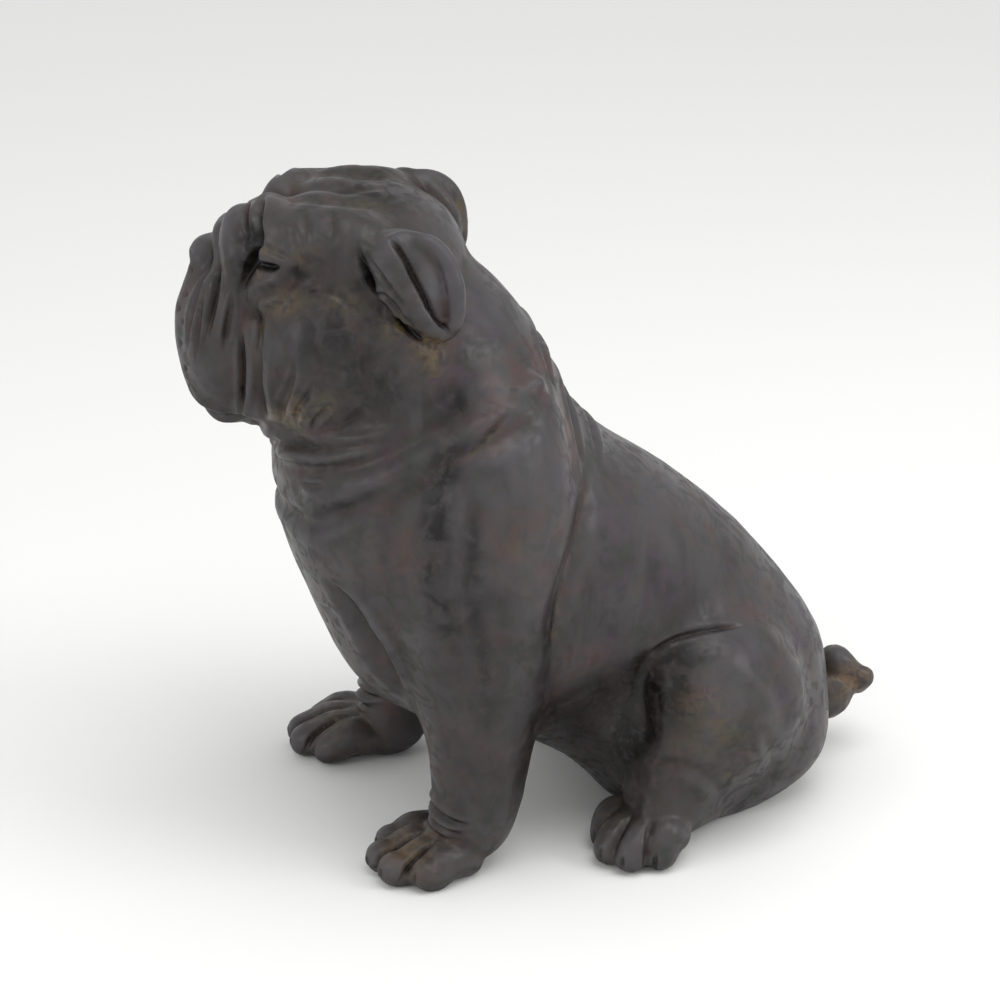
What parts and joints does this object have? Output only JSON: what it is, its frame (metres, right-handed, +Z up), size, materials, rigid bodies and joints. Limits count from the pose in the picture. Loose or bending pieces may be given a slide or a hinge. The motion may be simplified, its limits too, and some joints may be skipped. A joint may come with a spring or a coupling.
{
  "type": "bulldog statue",
  "caption": "Seated bulldog statue cast in one piece, head turned to its right, dark aged resin finish.",
  "frame": {"origin": "ground plane, under the middle of the figure's overall box", "axes": "+Z up, -Y the way the body faces, +X the dog's own left side"},
  "size_m": [0.2176, 0.3758, 0.3464],
  "materials": {
    "aged_resin": "dark grey-brown, waxed, with ochre and earth-brown dirt in the folds"
  },
  "bodies": {
    "root": {"bulldog": "aged_resin"}
  },
  "joints": []
}
